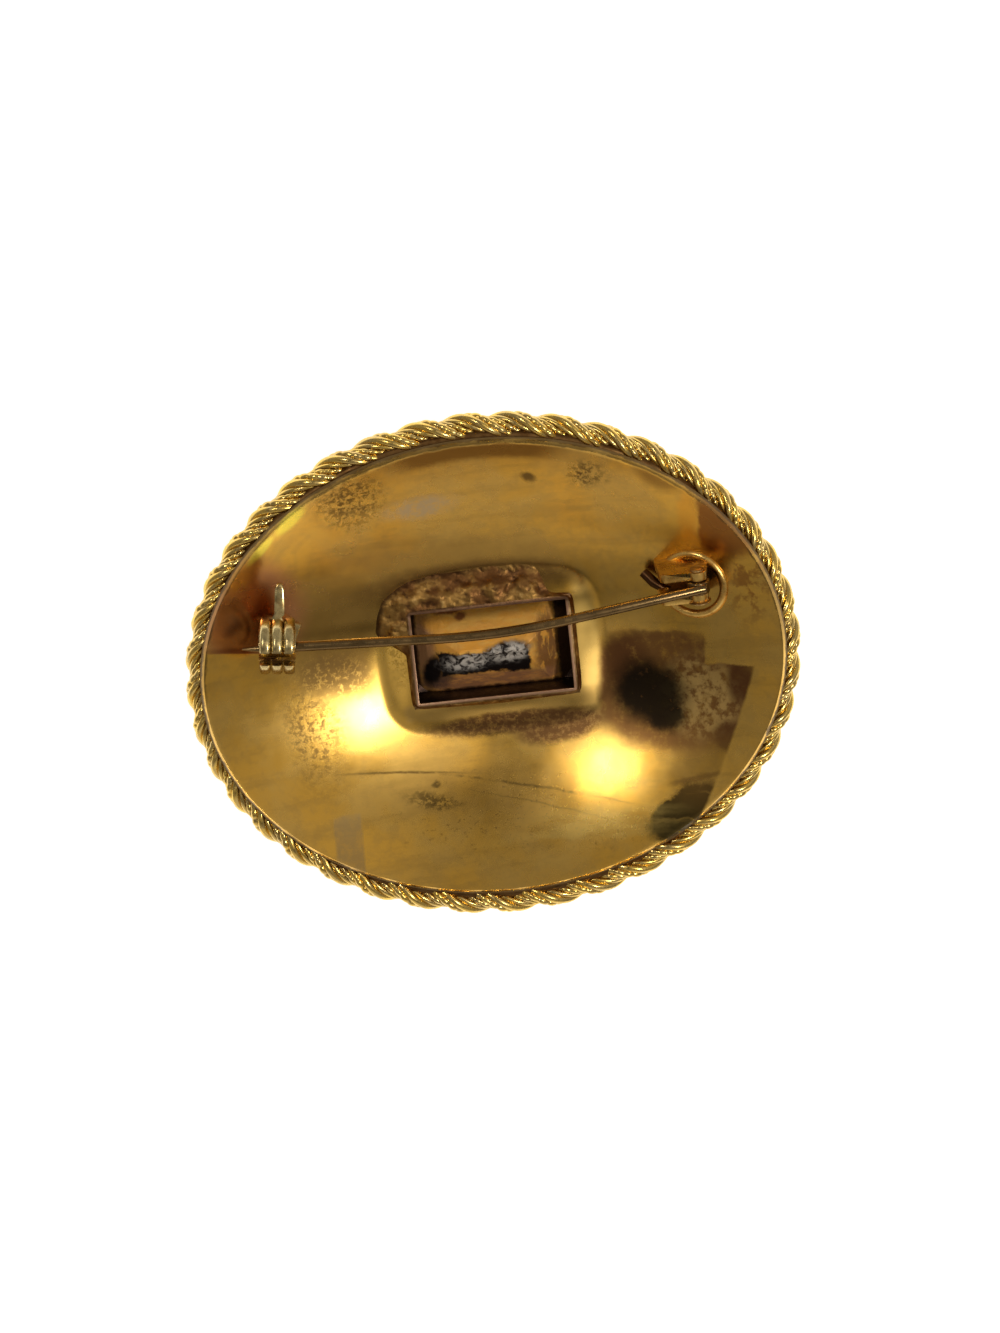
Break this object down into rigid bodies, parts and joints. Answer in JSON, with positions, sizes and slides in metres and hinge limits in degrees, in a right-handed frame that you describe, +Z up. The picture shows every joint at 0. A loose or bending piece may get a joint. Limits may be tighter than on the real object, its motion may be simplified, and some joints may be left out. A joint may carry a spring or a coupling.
{
  "type": "gemstone brooch",
  "caption": "Oval domed brooch with a twisted rope border, a foiled step-cut stone in a box setting, and a hinged pin that locks in a rolling safety catch.",
  "frame": {"origin": "on the surface under the middle of the brooch's box, with the stone's flat table resting on that surface", "axes": "+X along the long axis towards the pin's hinge, +Y across it towards the side where pin and catch lie, +Z up, towards the wearer's side, because the brooch lies face down"},
  "size_m": [0.056, 0.0468, 0.0155],
  "materials": {
    "plate_gold": "polished gold plate with brown tarnish, smudges and fine scratches",
    "rope_gold": "bright gold plate on twisted wire, dark in the grooves",
    "setting_gold": "gold plate, cut edge paler, browned by solder",
    "stone_glass": "clear amber glass, foiled behind",
    "finding_gold": "gold plate, worn",
    "catch_gold": "pale gold plate, satin",
    "pin_brass": "dull brown brass wire"
  },
  "bodies": {
    "brooch": {"dome": "plate_gold", "rope_border": "rope_gold", "setting": "setting_gold", "stone": "stone_glass", "hinge": "finding_gold", "hinge_rivet": "finding_gold", "catch": "catch_gold"},
    "pin": {"pin_stem": "pin_brass"},
    "catch_roll_ring": {"catch_rotor": "catch_gold"}
  },
  "joints": [
    {"name": "pin_swing", "type": "hinge", "parent": "brooch", "child": "pin", "pos_m": [0.0191, 0.00548, 0.01185], "axis": [0, 0.9813, 0.1923], "range_deg": [0, 105]},
    {"name": "catch_roll", "type": "hinge", "parent": "brooch", "child": "catch_roll_ring", "pos_m": [-0.0192, 0.00425, 0.01288], "axis": [0.9942, -0.108, 0], "range_deg": [0, 105]}
  ]
}
